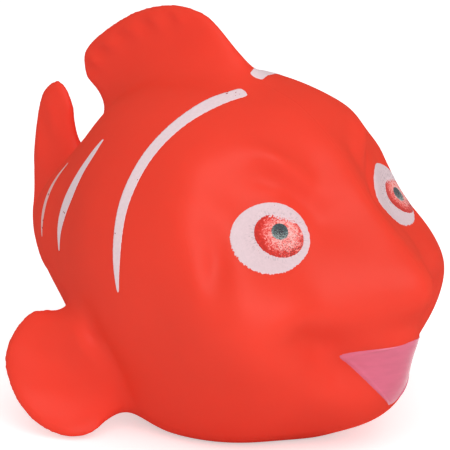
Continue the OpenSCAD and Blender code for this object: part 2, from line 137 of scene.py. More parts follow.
# Stripes: widths along them, and places
FRONT_WIDTHS = [0.9, 1, 0.87, 0.81, 0.76, 0.74, 0.68, 0.56, 0.15]
MIDDLE_WIDTHS = [0.1, 0.4, 0.52, 0.68, 0.84, 0.9, 0.8, 0.5, 0.1]
TAIL_WIDTHS = [0.15, 0.8, 1, 0.8, 0.15]
MIDDLE_PLACES = [
    (-0.634, 0.322, 0.655), (-0.68, 0.362, 0.561), (-0.706, 0.409, 0.459), (-0.721, 0.453, 0.349),
    (-0.721, 0.5, 0.23), (-0.72, 0.531, 0.108), (-0.728, 0.529, -0.02)
]
TAIL_PLACES = [
    (-0.47, 0.64, 0.41), (-0.478, 0.694, 0.344), (-0.5, 0.723, 0.274), (-0.528, 0.737, 0.203),
    (-0.552, 0.743, 0.129), (-0.566, 0.744, 0.052), (-0.568, 0.741, -0.028)
]
FRONT_RIGHT_PLACES = [
    (-0.165, -0.19, 0.952), (-0.407, -0.114, 0.894), (-0.613, -0.05, 0.781), (-0.78, 0.001, 0.62),
    (-0.905, 0.023, 0.418), (-0.979, 0.015, 0.194), (-0.998, -0.002, -0.055)
]
FRONT_LEFT_PLACES = [
    (0.01, -0.145, 0.968), (-0.3, -0.035, 0.931), (-0.56, 0.0, 0.815), (-0.76, 0.02, 0.645),
    (-0.9, 0.022, 0.43), *FRONT_RIGHT_PLACES[5:]
]
# Each stripe's widths, and its places on the right and the left side
STRIPES = {
    "front": (FRONT_WIDTHS, FRONT_RIGHT_PLACES, FRONT_LEFT_PLACES),
    "middle": (MIDDLE_WIDTHS, MIDDLE_PLACES, MIDDLE_PLACES),
    "tail": (TAIL_WIDTHS, TAIL_PLACES, TAIL_PLACES),
}
# Rows and columns of the sheets of paint on the stripes and the lips
STRIPE_GRID = (220, 15)
LIP_GRID = (90, 80)
LIP_HEIGHTS = [-0.612, -0.56, -0.51, -0.455, -0.405, -0.361, -0.305, -0.262, -0.228]
LIP_WIDTHS = [0.012, 0.062, 0.118, 0.184, 0.248, 0.303, 0.236, 0.14, 0.012]

# Small sizes of the moulding in metres: the rounding of the flat base's edge, how deep the fins start under
# the skin, how high their flare reaches, and how far off the exact skin the welded one is laid back on it
BASE_EDGE = 0.0004
FIN_SINK = 0.004
FLARE_HEIGHT = 0.006
SKIN_TOLERANCE = 0.0006
# The squeaker's seat: radius and depth of the recess for its flange, and radius of the hole for its neck
FLANGE_RADIUS, FLANGE_DEPTH, NECK_RADIUS = 0.01105, 0.00195, 0.008
# How far the cutter of the seat runs out of the base and on into the air chamber
OVERRUN_BELOW, OVERRUN_INSIDE = 0.001, 0.0015
# How far off the skin a stripe's sheet starts before it is laid on
SHEET_LIFT = 0.0006
# How deep the relief of every material's bump is, the middle of an eye layer's own map, and how many lines of
# paint creep out around the eye
BUMP_HEIGHT = 0.0001
MAP_MIDDLE = (0.5, 0.5, 0.0)
STREAKS = 120

# The floor's half width and level, just under the toy, and the height that the lamps and the camera aim at
FLOOR_REACH, FLOOR_LEVEL = 4.0, -0.00005
MIDDLE_HEIGHT = 0.04
# The toy's middle is a little right of and below the middle of the photograph
AIM_LEFT, AIM_UP = 0.00107, 0.0018
SENSOR_WIDTH = 36
# Place, width and share of the key power of each lamp
LAMPS = {
    "softbox": ((-0.44, -0.6, 0.63), 0.75, 1.0),
    "fill": ((0.7, -0.6, 0.4), 0.8, 0.06),
}


def length(name, words, default):
    """A size in metres for a property group."""
    return bpy.props.FloatProperty(name=name, description=words, default=default, unit="LENGTH", precision=5)


def amount(name, words, default):
    """A plain number of zero or more for a property group."""
    return bpy.props.FloatProperty(name=name, description=words, default=default, min=0)


def turn(name, words, default):
    """An angle for a property group, given in degrees."""
    angle = math.radians(default)
    return bpy.props.FloatProperty(name=name, description=words, default=angle, unit="ROTATION")


def hue(name, words, hex_value):
    """A colour for a property group, from its sRGB hex value."""
    return bpy.props.FloatVectorProperty(
        name=name, description=words, subtype="COLOR", size=4, min=0, max=1, default=linear(hex_value)
    )


def linear(hex_value):
    """Linear colour with alpha from an sRGB hex value, by the sRGB transfer curve."""
    parts = [int(hex_value[i : i + 2], 16) / 255 for i in (1, 3, 5)]
    return tuple(c / 12.92 if c <= 0.04045 else ((c + 0.055) / 1.055) ** 2.4 for c in parts) + (1.0,)


class BATHTOY_PG_body(bpy.types.PropertyGroup):
    """Sizes of the moulded body and its fins"""

    body_length: length("Body length", "Length of the body without its fins", 0.096)
    body_width: length("Body width", "Width of the body without its fins", 0.072)
    body_height: length("Body height", "Height of the body without its fins", 0.076)
    skin_wall: length("Wall", "Thickness of the skin", 0.0024)
    base_floor: length("Base", "Thickness of the skin in the flat base", 0.0042)
    snout_rise: length("Snout", "How far the snout stands out", 0.0027)
    bridge_rise: length("Bridge", "How far the ridge between the eyes stands out", 0.0036)
    socket_depth: length("Eye sockets", "How deep the eyes lie", 0.0101)
    brow_rise: length("Brows", "How far the brows stand out", 0.0028)
    cheek_rise: length("Cheeks", "How far the cheeks stand out", 0.0079)
    lip_rise: length("Lips", "How far the lips stand out", 0.0027)
    dip_depth: length("Dip", "Depth of the dip between snout and lips", 0.0033)
    crease_depth: length("Crease", "Depth of the crease beside the mouth", 0.0037)
    relief: length("Relief", "Height of the finer forms of the face", 0.001)
    dorsal_reach: length("Dorsal height", "How high the dorsal fin stands over its hub", 0.0155)
    dorsal_spread: length("Dorsal spread", "How far the dorsal fin runs to both sides of its hub", 0.024)
    tail_fin_length: length("Tail length", "How far the tail fin reaches back from the body", 0.0134)
    tail_spread: length("Tail spread", "How far the tail fin spreads up and down", 0.027)
    pectoral_reach: length("Pectoral reach", "Reach of each pectoral fin from its hub", 0.0204)
    pectoral_sweep: turn("Pectoral sweep", "Angle of the pectoral fins back from straight out", 50)
    pectoral_lean: turn("Pectoral lean", "Angle of the pectoral fins from upright", 26)
    fin_root: length("Fin root", "Thickness of the fins where they leave the body", 0.005)
    fin_edge: length("Fin edge", "Thickness of the fins near their edge", 0.0032)
    fin_flare: length("Fin flare", "How far the fins spread sideways at the body", 0.002)
    root_blend: length("Root blend", "How far the rounding between fins and body reaches", 0.0085)
    grain: length("Grain", "Size of the facets that the welded skin is made of", 0.000621)
    vinyl: hue("Vinyl", "Colour of the soft vinyl", "#F53F2A")


class BATHTOY_PG_paint(bpy.types.PropertyGroup):
    """Sizes and colours of the painted parts"""

    eye_width: length("Eye width", "Width of the white of each eye", 0.0187)
    eye_height: length("Eye height", "Height of the white of each eye", 0.0145)
    iris_width: length("Iris width", "Width of each iris", 0.0115)
    pupil_width: length("Pupil width", "Width of each pupil", 0.0041)
    iris_height: length("Iris height", "Height of each iris", 0.009)
    pupil_height: length("Pupil height", "Height of each pupil", 0.0035)
    front_stripe: length("Front stripe", "Widest part of the stripe behind the head", 0.0036)
    middle_stripe: length("Middle stripe", "Widest part of the stripe on the flank", 0.0044)
    tail_stripe: length("Tail stripe", "Widest part of the stripe at the root of the tail", 0.0012)
    film: length("Film", "How far the paint stands out from the skin", 0.00008)
    white: hue("White", "Colour of the white of the eyes", "#E6CDD2")
    white_full: hue("Full white", "Colour of the stripes", "#F3DBE0")
    white_thin: hue("Thin white", "Colour of the stripes where little paint reached", "#EDB9B6")
    iris: hue("Iris", "Colour of the iris where the paint is thick", "#DE2E22")
    iris_pale: hue("Pale iris", "Colour of the iris where the white shows through", "#F9A7A2")
    pupil: hue("Pupil", "Colour of the pupil where the paint is thick", "#4C6568")
    pupil_pale: hue("Pale pupil", "Colour of the pupil where the paint is thin", "#A3B4B1")
    lips: hue("Lips", "Colour of the glossy lips", "#DE6C87")


class BATHTOY_PG_stage(bpy.types.PropertyGroup):
    """Camera and light"""

    azimuth: turn("Azimuth", "Turn of the camera from straight ahead towards the right side", 50)
    elevation: turn("Elevation", "Height of the camera over the toy as an angle", 17.3)
    distance: length("Distance", "Distance from the camera to the middle of the toy", 0.7)
    view_width: length("View width", "Width of the picture at the middle of the toy", 0.09615)
    sky: amount("Sky", "Strength of the light from all round", 0.57)
    key: amount("Key", "Power of the main lamp in watts", 4.55)


def curve(values, u):
    """Catmull-Rom curve through the rows of values at u from 0 to 1, running on straight at both ends."""
    v = np.array(values, float)
    v = v[:, None] if v.ndim == 1 else v
    v = np.vstack([2 * v[0] - v[1], v, 2 * v[-1] - v[-2]])
    return spline(v, np.clip(u, 0, 1) * (len(v) - 3))


def outline(shares, angle):
    """Catmull-Rom curve through shares at every profile step, level at the nose and at the tail."""
    v = np.array(shares, float)[:, None]
    v = np.vstack([v[1], v, v[-2]])
    return spline(v, np.clip(angle / PROFILE_STEP, 0, len(v) - 3))[..., 0]


def spline(v, x):
    """The cubic a..d over four neighbouring rows: (2b + (c-a)t + (2a-5b+4c-d)t2 + (3b-a-3c+d)t3) / 2."""
    i = np.minimum(np.floor(x).astype(int), len(v) - 4)
    t = (x - i)[..., None]
    a, b, c, d = v[i], v[i + 1], v[i + 2], v[i + 3]
    return (2 * b + (c - a) * t + (2 * a - 5 * b + 4 * c - d) * t**2 + (3 * b - a - 3 * c + d) * t**3) / 2


def unit(v):
    """Vectors of length one."""
    return v / np.linalg.norm(v, axis=-1, keepdims=True)


def smooth_step(x):
    """0 below 0, 1 above 1, and 3x2 - 2x3 between."""
    x = np.clip(x, 0, 1)
    return x * x * (3 - 2 * x)


def waves(t, period, seed):
    """Smooth seeded noise over t that repeats with the period: sines at doubling rates, about -1 to 1."""
    rng = np.random.default_rng(seed)
    total = np.zeros_like(t)
    for k in range(3):
        for _ in range(5):
            rate = max(1, round(period * 2**k * rng.uniform(0.6, 1.5)))
            total += np.sin(2 * np.pi * (rate * t + rng.uniform())) / (1.6**k * 5)
    return total


class Skin:
    """The body's skin as a distance from its core in each direction.

    A direction is a unit vector in a space where the body's box is a cube. The distance is that of an oval
    section, whose two half axes follow the side and top or belly outlines, plus a Gaussian rise or hollow for
    each feature of the face, and it is cut off softly where the flat base is."""

    def __init__(self, sizes):
        self.sizes = sizes
        self.half = np.array([sizes.body_width, sizes.body_length, sizes.body_height]) / 2
        nose = self.half[1] * SIDE_SHARES[0] + sizes.snout_rise * NOSE_SHARE
        tail = self.half[1] * TAIL_HUB[1] + sizes.tail_fin_length
        self.core = np.array([0, (nose - tail) / 2, sizes.body_height / 2])

    def share(self, d):
        """Distance of the plain oval section in direction d, as a share of the half sizes."""
        angle = np.arccos(np.clip(-d[..., 1], -1, 1))
        side = outline(SIDE_SHARES, angle)
        upright = np.where(d[..., 2] > 0, outline(TOP_SHARES, angle), outline(BELLY_SHARES, angle))
        s = np.hypot(d[..., 0], d[..., 2])
        oval = np.hypot(d[..., 0] / side, d[..., 2] / upright)
        return np.where(s < 1e-6, side, s / np.maximum(oval, 1e-9))

    def face(self, q):
        """Sum of the Gaussian rises and hollows at q, which is given in half sizes."""
        forms = [(sign * getattr(self.sizes, name), *form) for name, sign, *form in FACE_SHARES]
        forms += [(share * self.sizes.relief, *form) for share, *form in FACE_DETAILS]
        mirrored = np.abs(q) * [1, 0, 0] + q * [0, 1, 1]
        total = 0
        for height, place, spread in forms:
            for side in (1, -1) if place[0] > 0 else (1,):
                e = (mirrored - np.array(place) * [side, 1, 1]) / spread
                total = total + height * np.exp(-(e * e).sum(-1) / 2)
        return total

    def reach(self, d, level):
        """Distance from core to skin: the soft least of oval plus face and of the plane of the base."""
        stretched = d * self.half
        long = np.linalg.norm(stretched, axis=-1)
        share = self.share(d)
        free = share * long + self.face(d * share[..., None])
        drop = np.maximum(-stretched[..., 2], 1e-9)
        cut = np.where(d[..., 2] < 0, (self.core[2] - level) * long / drop, 10.0)
        gap = np.clip((free - cut) / BASE_EDGE, -30, 30)
        return np.minimum(free, cut) - BASE_EDGE * np.log1p(np.exp(-np.abs(gap)))

    def point(self, d, lift=0.0, level=0.0):
        """Point of the skin in direction d, proud by a lift, over a base at a level."""
        return self.core + unit(d * self.half) * (self.reach(d, level) + lift)[..., None]

    def towards(self, place):
        """Direction from the core to a place."""
        return unit((place - self.core) / self.half)


def quads(rows, cols, count):
    """Quads between a grid's rows, from each of the first count columns to the next, or the first again."""
    i, j = np.meshgrid(np.arange(rows - 1), np.arange(count), indexing="ij")
    k = (j + 1) % cols
    return np.stack([i * cols + j, i * cols + k, (i + 1) * cols + k, (i + 1) * cols + j], -1).reshape(-1, 4)


def shell(rings):
    """Points and faces of rings closed by a pole in the middle of the first and of the last ring."""
    rows, cols = rings.shape[:2]
    points = np.vstack([rings.reshape(-1, 3), rings[0].mean(0), rings[-1].mean(0)])
    j = np.arange(cols)
    k = (j + 1) % cols
    first = np.stack([np.full(cols, rows * cols), k, j], -1)
    last = np.stack([(rows - 1) * cols + j, (rows - 1) * cols + k, np.full(cols, rows * cols + 1)], -1)
    return points, quads(rows, cols, cols).tolist() + first.tolist() + last.tolist()


def values_of(items, key, width, kind=float):
    """An attribute of all items of a mesh, one row each."""
    values = np.zeros(len(items) * width, kind)
    items.foreach_get(key, values)
    return values.reshape(-1, width)


def mesh_from(name, points, faces, uv=None):
    """A mesh of points and faces with smooth shading, faces pointing outwards, and a map if one is given."""
    mesh = bpy.data.meshes.new(name)
    mesh.from_pydata(np.asarray(points, float).tolist(), [], faces)
    if uv is not None:
        corners = values_of(mesh.loops, "vertex_index", 1, np.int32)[:, 0]
        mesh.uv_layers.new(name="Paint").data.foreach_set("uv", uv[corners].astype(np.float32).ravel())
    mesh.polygons.foreach_set("use_smooth", np.ones(len(mesh.polygons), bool))
    mesh.update()
    if signed_volume(mesh) < 0:
        mesh.flip_normals()
    return mesh


def signed_volume(mesh):
    """Six times the volume by the sum of corner determinants over the faces' triangles."""
    mesh.calc_loop_triangles()
    points = values_of(mesh.vertices, "co", 3)
    triangles = values_of(mesh.loop_triangles, "vertices", 3, np.int32)
    a, b, c = (points[triangles[:, k]] for k in range(3))
    return float((a * np.cross(b, c)).sum())


def linked(name, data):
    """A new object of the data in the scene."""
    thing = bpy.data.objects.new(name, data)
    bpy.context.scene.collection.objects.link(thing)
    return thing


def aimed(thing, where, aim):
    """Puts a lamp or camera at a place and points it at another."""
    thing.location = where
    thing.rotation_euler = (aim - thing.location).to_track_quat("-Z", "Y").to_euler()


def finished(piece, material):
    """Gives a piece one material."""
    piece.data.materials.clear()
    piece.data.materials.append(material)


def place(name, mesh, material, body, slot, nodes):
    """Links a mesh as a piece that rides on a body and stands for CAD nodes."""
    old = bpy.data.objects.get(name)
    if old is not None:
        bpy.data.objects.remove(old)
    piece = linked(name, mesh)
    finished(piece, material)
    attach(piece, body)
    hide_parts(*nodes)
    return piece


def evaluated(points, faces, *modifiers):
    """Mesh of points and faces after modifiers, each given as its kind and its settings."""
    piece = linked("work", mesh_from("work", points, faces))
    for kind, settings in modifiers:
        modifier = piece.modifiers.new(kind, kind)
        for key, value in settings.items():
            setattr(modifier, key, value)
    depsgraph = bpy.context.evaluated_depsgraph_get()
    mesh = bpy.data.meshes.new_from_object(piece.evaluated_get(depsgraph))
    bpy.data.objects.remove(piece)
    return mesh


def relaxed(points, edges, weight, rounds, push=0.0):
    """Moves points by weight half way to their neighbours' mean, and with push back out, in each round."""
    ends, others = edges.T.ravel(), edges.T[::-1].ravel()
    count = np.bincount(ends, minlength=len(points))[:, None]
    for _ in range(rounds):
        for step in (0.5, -push):
            if step:
                total = [np.bincount(ends, points[others, k], len(points)) for k in range(3)]
                points = points + weight[:, None] * step * (np.stack(total, -1) / count - points)
    return points


def fin_rings(sizes, base, edge, flutes, depth, lean, first, flare, rows=64, cols=300):
    """Rings of a fluted blade: at each c along it a ray runs from the base line to the edge line.

    Around a ring the sweep angle goes once round the blade, c being (1 - cos) / 2 of it, and the point lies
    off the ray by the half thickness: a taper, a round edge, a cosine for the flutes and a flare at the skin.
    The flutes lean back by a share of c on the way up, set in after the first share and die out before the
    edge."""
    sweep = np.linspace(0, 2 * np.pi, cols, endpoint=False)
    c = (1 - np.cos(sweep)) / 2
    start = curve(base, c)
    whole = curve(edge, c) - start
    long = np.linalg.norm(whole, axis=-1)
    back = curve(base, np.minimum(c + 0.02, 1)) - curve(base, np.maximum(c - 0.02, 0))
    off = unit(np.cross(whole, back))
    s = ((long + FIN_SINK) * np.linspace(0, 1, rows)[:, None] - FIN_SINK) / long
    up = np.maximum(s, 0)
    taper = (sizes.fin_root + (sizes.fin_edge - sizes.fin_root) * up) / 2
    tip = np.sqrt(np.maximum(1 - up**14, 0.004))
    rays = np.cos(2 * np.pi * flutes * (c - lean * up))
    fade = smooth_step((c - first) / 0.2) * smooth_step(3 * up) * smooth_step((1 - up) / 0.25)
    flute = 1 + depth * rays * fade
    spread = sizes.fin_flare * flare * np.maximum(1 - up * long / (FLARE_HEIGHT * flare), 0) ** 2
    half = np.sign(np.sin(sweep)) * np.abs(np.sin(sweep)) ** 0.7 * (taper * tip * flute + spread)
    return start + whole * s[..., None] + off * half[..., None]


def middle_fin(skin, angles, hub, backs, rises, back_size, rise_size):
    """Base line on the back and edge line around a hub of a fin in the plane of symmetry."""
    a = np.radians(angles)
    base = skin.point(np.stack([0 * a, -np.cos(a), np.sin(a)], -1))
    middle = skin.core + np.array(hub) * skin.half
    edge = middle + np.stack([0 * a, np.array(backs) * back_size, np.array(rises) * rise_size], -1)
    return base, edge


def pectoral_lines(skin):
    """Base and edge line of the right side fin, around a hub in a plane that is swept back and leans."""
    sizes = skin.sizes
    sweep, lean = sizes.pectoral_sweep, sizes.pectoral_lean
    out = np.array([-math.cos(sweep), math.sin(sweep), 0])
    tilt = math.sin(lean)
    up = np.array([tilt * math.sin(sweep), tilt * math.cos(sweep), math.cos(lean)])
    t = np.linspace(0, 1, len(PECTORAL_EDGE))[:, None]
    base = skin.point(unit(np.array(PECTORAL_TOP) * (1 - t) + np.array(PECTORAL_FOOT) * t))
    hub = skin.core + np.array(PECTORAL_HUB) * skin.half
    edge = np.array([hub + (out * e[0] + up * e[1]) * sizes.pectoral_reach for e in PECTORAL_EDGE])
    return base, edge


def egg_rings(skin, rows, cols, lift=0.0, level=0.0):
    """Rings of the skin from nose to tail, at angles of pi times even shares to the power of 1.2."""
    angle = np.pi * (np.arange(1, rows + 1) / (rows + 1)) ** 1.2
    around = np.linspace(0, 2 * np.pi, cols, endpoint=False)
    a, r = np.meshgrid(angle, around, indexing="ij")
    d = np.stack([np.sin(a) * np.cos(r), -np.cos(a), np.sin(a) * np.sin(r)], -1)
    return skin.point(d, lift, level)


def joined(shells):
    """Points and faces of several closed forms in one list."""
    points, faces, count = [], [], 0
    for p, f in shells:
        points.append(p)
        faces += [[k + count for k in face] for face in f]
        count += len(p)
    return np.vstack(points), faces


def all_fins(skin):
    """Base lines and rings of the dorsal, the tail and the right and left side fins."""
    sizes = skin.sizes
    dorsal = middle_fin(
        skin, DORSAL_ANGLES, DORSAL_HUB, DORSAL_BACK, DORSAL_RISE, sizes.dorsal_spread, sizes.dorsal_reach
    )
    tail = middle_fin(
        skin, TAIL_ANGLES, TAIL_HUB, TAIL_BACK, TAIL_RISE, sizes.tail_fin_length, sizes.tail_spread
    )
    right = pectoral_lines(skin)
    rings = [
        fin_rings(sizes, *dorsal, flutes=9, depth=0.28, lean=0.2, first=0.2, flare=1.6),
        fin_rings(sizes, *tail, flutes=5, depth=0.17, lean=0, first=0, flare=1.5),
        fin_rings(sizes, *right, flutes=4, depth=0.17, lean=-0.1, first=0, flare=2.6),
    ]
    return [dorsal[0], tail[0], right[0], right[0] * MIRROR], rings + [rings[2][:, ::-1] * MIRROR]


def rounded_roots(skin, points, edges, bases):
    """Points of the welded skin, relaxed where fins leave it and laid back on the exact skin elsewhere.

    All points are relaxed a little. Then each one's distance from the nearest base line of a fin sets two
    weights, smooth steps over the root blend: one relaxes the roots, one moves far points to the skin."""
    blend = skin.sizes.root_blend
    samples = 80
    roots = np.vstack([curve(base, np.linspace(0, 1, samples)) for base in bases])
    near, which = [], []
    for p in np.array_split(points, len(points) // 4000 + 1):
        off = ((p[:, None] - roots) ** 2).sum(-1)
        near.append(np.sqrt(off.min(1)))
        which.append(off.argmin(1) // samples)
    near, which = np.concatenate(near), np.concatenate(which)
    points = relaxed(points, edges, np.ones(len(points)), rounds=14, push=0.53)
    soft = np.array(ROOT_SOFTNESS)[which] * (1 - smooth_step((near - 0.4 * blend) / blend))
    points = relaxed(points, edges, soft, rounds=220)
    exact = skin.point(skin.towards(points))
    off = np.linalg.norm(points - skin.core, axis=-1) - np.linalg.norm(exact - skin.core, axis=-1)
    keep = smooth_step((near - blend) / (0.8 * blend)) * (np.abs(off) < SKIN_TOLERANCE)
    return points + keep[:, None] * (exact - points)


def squeaker_seat(sizes):
    """The closed form of the stepped hole in the base: rings at the heights of its steps."""
    around = np.linspace(0, 2 * np.pi, 160, endpoint=False)
    r = np.array([FLANGE_RADIUS, FLANGE_RADIUS, NECK_RADIUS, NECK_RADIUS])[:, None]
    z = np.array([-OVERRUN_BELOW, FLANGE_DEPTH, FLANGE_DEPTH, sizes.base_floor + OVERRUN_INSIDE])[:, None]
    return shell(np.stack([r * np.cos(around), r * np.sin(around), z + 0 * around], -1))


def moulded_skin(sizes):
    """The hollow moulding: body and fins welded, their roots rounded, then bored and hollowed."""
    skin = Skin(sizes)
    bases, fins = all_fins(skin)
    points, faces = joined([shell(rings) for rings in (egg_rings(skin, 180, 280), *fins)])
    welded = evaluated(points, faces, ("REMESH", {"mode": "VOXEL", "voxel_size": sizes.grain}))
    edges = values_of(welded.edges, "vertices", 2, np.int32)
    points = rounded_roots(skin, values_of(welded.vertices, "co", 3), edges, bases)
    faces = [list(p.vertices) for p in welded.polygons]
    chamber = shell(egg_rings(skin, 40, 60, -sizes.skin_wall, sizes.base_floor))
    tools = [linked("cutter", mesh_from("cutter", *form)) for form in (squeaker_seat(sizes), chamber)]
    away = {"operation": "DIFFERENCE", "solver": "MANIFOLD"}
    mesh = evaluated(points, faces, *[("BOOLEAN", {**away, "object": tool}) for tool in tools])
    for tool in tools:
        bpy.data.objects.remove(tool)
    mesh.set_sharp_from_angle(angle=math.radians(50))
    mesh.name = "fish_skin"
    return mesh


def film_rings(skin, d, film, roll):
    """Rings of a thin closed layer over rows of directions d: up over the top, and back under the skin.

    Across each row the top stands out by the film, with a Gaussian roll of wet paint near both ends, and
    falls below the skin at them, so that the layer has no visible edge of its own. Its map runs across in x
    and along in y."""
    across = np.linspace(-1, 1, d.shape[1])
    along = np.linspace(-1, 1, d.shape[0])
    fall = np.minimum(1 - np.abs(across)[None, :] ** 8, 1 - np.abs(along)[:, None] ** 24)
    ends = smooth_step((1 - np.abs(along)) / 0.3)[:, None]
    lip = roll * np.exp(-(((np.abs(across) - 0.85) / 0.08) ** 2))[None, :] * ends
    top = skin.point(d, film * (2 * fall - 1) + lip * np.clip(fall, 0, 1))
    under = skin.point(d[:, ::-1], -3 * film * np.ones(d.shape[:2]))
    u, v = np.meshgrid((across + 1) / 2, (along + 1) / 2)
    uv = np.concatenate([np.stack([u, v], -1), np.stack([u, v], -1)[:, ::-1]], 1)
    return np.concatenate([top, under], 1), uv


def stripe_sheet(skin, places, widths, widest, seed):
    """A sheet a little above the skin along places on it: from a curve, sideways by half the curve of widths.

    Sideways is square to the way along and to the line from the core, both edges are roughened by seeded
    noise, and the width follows the root of 1 - x90 at the blunt ends."""
    u = np.linspace(0, 1, STRIPE_GRID[0])
    here = skin.point(unit(curve(places, u)))
    ahead = skin.point(unit(curve(places, np.minimum(u + 0.01, 1))))
    behind = skin.point(unit(curve(places, np.maximum(u - 0.01, 0))))
    across = unit(np.cross(ahead - behind, here - skin.core))
    blunt = np.sqrt(np.maximum(1 - np.abs(2 * u - 1) ** 90, 0.02))
    half = curve(widths, u)[:, 0] * blunt * widest / 2
    v = np.linspace(-1, 1, STRIPE_GRID[1])
    edges = [1 + 0.05 * waves(u, 40, seed + k) for k in (0, 1)]
    reach = np.where(v[None, :] < 0, edges[0][:, None], edges[1][:, None]) * v * half[:, None]
    aims = skin.towards(here[:, None] + across[:, None] * reach[..., None])
    return skin.point(aims, SHEET_LIFT).reshape(-1, 3)


def eye_axes(lean=0):
    """Axes across and up the right eye's ellipse, from the yaw, pitch and tilt of the way that it looks."""
    yaw, pitch, tilt = np.radians(np.array(EYE_TURNS) + [0, 0, lean])
    side = np.array([-np.cos(yaw), np.sin(yaw), 0])
    up = np.array([np.sin(pitch) * np.sin(yaw), np.sin(pitch) * np.cos(yaw), np.cos(pitch)])
    return side * np.cos(tilt) + up * np.sin(tilt), up * np.cos(tilt) - side * np.sin(tilt)


def eye_disc(skin, paint, width, height, shift, lean, film, teeth, side, seed, rows=34, cols=480):
    """A layer of paint within an ellipse on the skin, with a ragged outline, for the right eye.

    The radius is that of the ellipse less teeth: each of their parts (count, depth, place, spread) takes off
    depth times a rectified wave of that count, weighted by a Gaussian in the angle around the place. The top
    stands out by the film and falls below the skin at the rim. The map holds the ellipse's own plane as the
    onlooker sees it, its rim at 0.5 from the middle."""
    across, up = eye_axes()
    middle = skin.core + np.array(EYE_PLACE) * skin.half
    middle = middle + (across * shift[0] + up * shift[1]) * paint.eye_width
    across, up = eye_axes(lean)
    angle = np.linspace(0, 2 * np.pi, cols, endpoint=False)
    turns = angle / 2 / np.pi
    turned = angle if side == "right" else np.pi - angle
    rough = 1 + 0.006 * waves(turns, 24, seed)
    for k, (count, depth, toward, spread) in enumerate(teeth):
        off = np.angle(np.exp(1j * (turned - math.radians(toward)))) / math.radians(spread)
        jitter = 1.4 * waves(turns, count / 3, seed + 1 + k)
        size = 0.6 + 0.4 * waves(turns, count / 4, seed + 9 + k)
        rough = rough - depth * (np.abs(np.sin(count * angle / 2 + jitter)) * size) * np.exp(-off * off)
    radius = np.r_[np.linspace(0.02, 0.96, rows - 5), 0.975, 0.985, 0.992, 0.997, 1]
    lift = film * np.r_[np.ones(rows - 5), 0.8, 0.5, 0.1, -0.4, -1]
    r = radius[:, None] * (1 + (rough - 1) * radius[:, None] ** 6)
    x, y = np.cos(angle) * r * width / 2, np.sin(angle) * r * height / 2
    flat = across * x[..., None] + up * y[..., None]
    d = skin.towards(middle + flat)
    top = skin.point(d, lift[:, None] * np.ones_like(r))
    under = skin.point(d[::-3], -3 * film * np.ones((len(d[::-3]), cols)))
    uv = np.stack([0.5 - r / 2 * np.cos(turned), 0.5 + r / 2 * np.sin(turned)], -1)
    rings = np.concatenate([top, under])
    uv = np.concatenate([uv, uv[::-3]]).reshape(-1, 2)
    points, faces = shell(rings)
    return points, faces, np.vstack([uv, [[0.5, 0.5], [0.5, 0.5]]])


def add_node(tree, kind, inputs=None, stops=None, **settings):
    """A shader node with its settings, its inputs set to values or linked, and any ramp's stops.

    A node that is given for an input stands for its first output in use."""
    node = tree.nodes.new("ShaderNode" + kind)
    for key, value in settings.items():
        setattr(node, key, value)
    for key, value in (inputs or {}).items():
        if isinstance(value, bpy.types.Node):
            value = next(output for output in value.outputs if output.enabled)
        if isinstance(value, bpy.types.NodeSocket):
            tree.links.new(value, node.inputs[key])
        else:
            node.inputs[key].default_value = value
    for k, (position, colour) in enumerate(stops or []):
        stop = node.color_ramp.elements[k] if k < 2 else node.color_ramp.elements.new(position)
        stop.position, stop.color = position, colour
    return node


def blank(name):
    """A material with an empty node tree, and the function that adds nodes to it."""
    material = bpy.data.materials.get(name)
    if material is not None:
        bpy.data.materials.remove(material)
    material = bpy.data.materials.new(name)
    material.use_nodes = True
    material.node_tree.nodes.clear()
    return material, partial(add_node, material.node_tree)


def cells(width, across=1.0):
    """Scale of a pattern, to two digits: metres that its map spans over its cells' width in millimetres."""
    return float(f"{1000 * across / width:.2g}")


def tint(colour, factor):
    """A linear colour made darker or lighter."""
    return tuple(min(1.0, c * factor) for c in colour[:3]) + (1.0,)


def soft_vinyl(colour):
    """Soft vinyl, rotationally moulded: matt from the blasted mould, with faint orange peel and its seam."""
    material, add = blank("Rotomoulded soft vinyl")
    co = add("TexCoord").outputs["Object"]
    # Slow changes of colour where the paste ran thicker
    cloud = add("TexNoise", {"Vector": co, "Scale": cells(22), "Detail": 3.0, "Roughness": 0.5})
    base = add("ValToRGB", {0: cloud}, [(0.3, tint(colour, 0.96)), (0.7, tint(colour, 1.03))])
    # Orange peel, and the finer grain of the mould
    peel = add("TexNoise", {"Vector": co, "Scale": cells(1.18), "Detail": 2.0})
    grain = add("TexNoise", {"Vector": co, "Scale": cells(0.25), "Detail": 1.0})
    both = add("Math", {0: grain, 1: 0.35, 2: peel}, operation="MULTIPLY_ADD")
    # The seam of the two mould halves in the plane of symmetry: a soft line 0.8 mm wide, proud by a hair
    sides = add("SeparateXYZ", {0: co})
    off = add("Math", {0: sides}, operation="ABSOLUTE")
    seam = add("MapRange", {0: off, 1: 0.0, 2: 0.0004, 3: 7.0, 4: 0.0}, interpolation_type="SMOOTHSTEP")
    height = add("Math", {0: both, 1: seam}, operation="ADD")
    bump = add("Bump", {"Height": height, "Strength": 0.1, "Distance": BUMP_HEIGHT})
    # Light goes in and comes out red a few millimetres on, which softens the creases
    shader = add("BsdfPrincipled", {
        "Base Color": base, "Roughness": 0.45, "IOR": 1.5, "Specular IOR Level": 0.0, "Normal": bump,
        "Subsurface Weight": 0.25, "Subsurface Radius": (0.004, 0.0004, 0.0003), "Subsurface Scale": 1.0,
    })
    # The dull sheen of the blasted skin, as weak at a slant as face on
    sheen = add("BsdfAnisotropic", {"Color": linear("#FFFFFF"), "Roughness": 0.5, "Normal": bump})
    both = add("MixShader", {0: 0.02, 1: shader, 2: sheen})
    add("OutputMaterial", {"Surface": both})
    return material


